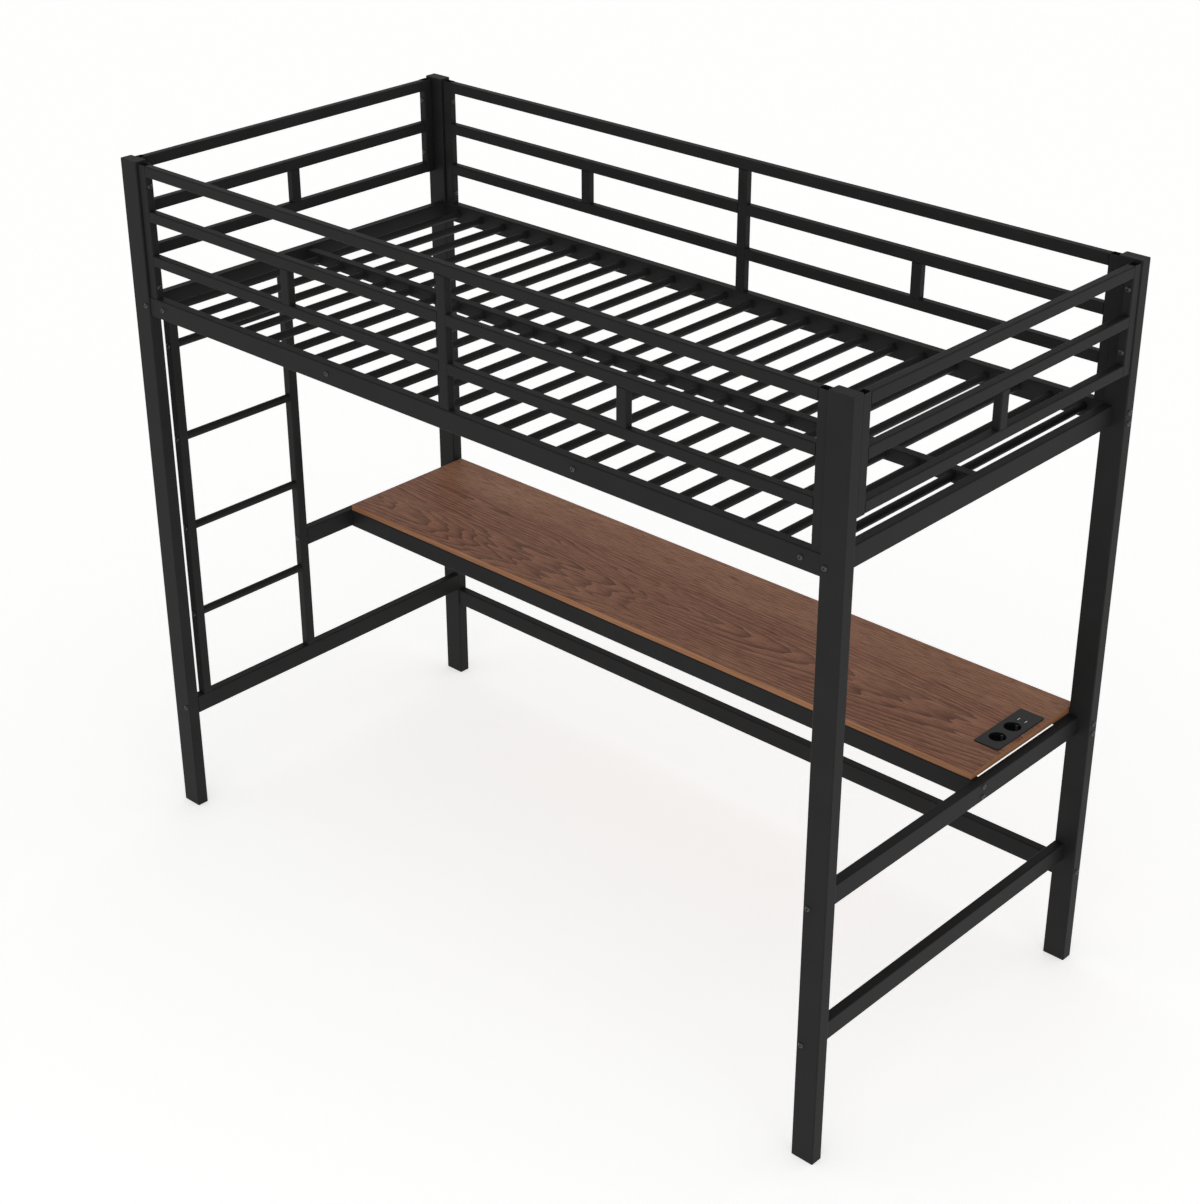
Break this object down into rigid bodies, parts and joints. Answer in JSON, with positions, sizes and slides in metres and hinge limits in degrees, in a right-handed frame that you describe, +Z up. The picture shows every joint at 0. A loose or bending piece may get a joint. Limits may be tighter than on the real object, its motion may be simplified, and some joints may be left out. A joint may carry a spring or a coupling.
{
  "type": "loft bed with desk",
  "caption": "Metal loft bed with a slatted deck, guards all round, a fixed ladder in one end, and a wood grain desk board with a power outlet underneath.",
  "frame": {"origin": "on the floor under the middle of the bed", "axes": "+X along the bed towards the outlet end, +Y from the open front to the wall side, +Z up"},
  "size_m": [2.087, 0.992, 1.724],
  "materials": {
    "black_steel": "satin black powder coat on rectangular and round steel tube",
    "black_bolt": "black coated steel",
    "black_plug": "moulded black polyethylene",
    "zinc_steel": "zinc plated",
    "wood_laminate": "satin wood grain laminate on particle board",
    "edge_band": "satin edge band",
    "outlet_plastic": "fine grained moulded plastic",
    "brass": "stamped brass contacts",
    "usb_white": "moulded plastic",
    "circuit_board": "solder mask"
  },
  "bodies": {
    "root": {"back_desk_rail": "black_steel", "back_guard": "black_steel", "back_left_post": "black_steel", "back_left_post_foot": "black_plug", "back_lower_rail": "black_steel", "back_right_post": "black_steel", "back_right_post_foot": "black_plug", "back_side_rail": "black_steel", "back_slats": "black_steel", "beam_bolts": "black_bolt", "beam_brackets": "black_steel", "board_screws": "zinc_steel", "centre_beam": "black_steel", "cord_gland": "outlet_plastic", "desk_board": "wood_laminate", "desk_edge_bands": "edge_band", "desk_rail_bolts": "black_bolt", "earth_clips": "zinc_steel", "end_post_bolts": "black_bolt", "front_desk_rail": "black_steel", "front_guard": "black_steel", "front_left_post": "black_steel", "front_left_post_foot": "black_plug", "front_post_bolts": "black_bolt", "front_right_post": "black_steel", "front_right_post_foot": "black_plug", "front_side_rail": "black_steel", "front_slats": "black_steel", "guard_bolts": "black_bolt", "ladder_back_stringer": "black_steel", "ladder_front_stringer": "black_steel", "ladder_rung_1": "black_steel", "ladder_rung_2": "black_steel", "ladder_rung_3": "black_steel", "ladder_rung_4": "black_steel", "left_deck_rail": "black_steel", "left_desk_rail": "black_steel", "left_end_guard": "black_steel", "left_lower_rail": "black_steel", "outlet_faceplate": "outlet_plastic", "outlet_housing": "outlet_plastic", "pin_sleeves": "brass", "post_nut_plates": "zinc_steel", "post_top_caps": "black_plug", "rail_end_nuts": "zinc_steel", "rear_post_bolts": "black_bolt", "right_deck_rail": "black_steel", "right_desk_rail": "black_steel", "right_end_guard": "black_steel", "right_lower_rail": "black_steel", "rung_bolts": "black_bolt", "rung_end_plugs": "zinc_steel", "side_rail_end_nuts": "zinc_steel", "slat_bolts": "black_bolt", "slat_end_plugs": "zinc_steel", "socket_well_1": "outlet_plastic", "socket_well_2": "outlet_plastic", "usb_board": "circuit_board", "usb_shells": "zinc_steel", "usb_tongues": "usb_white"}
  },
  "joints": []
}
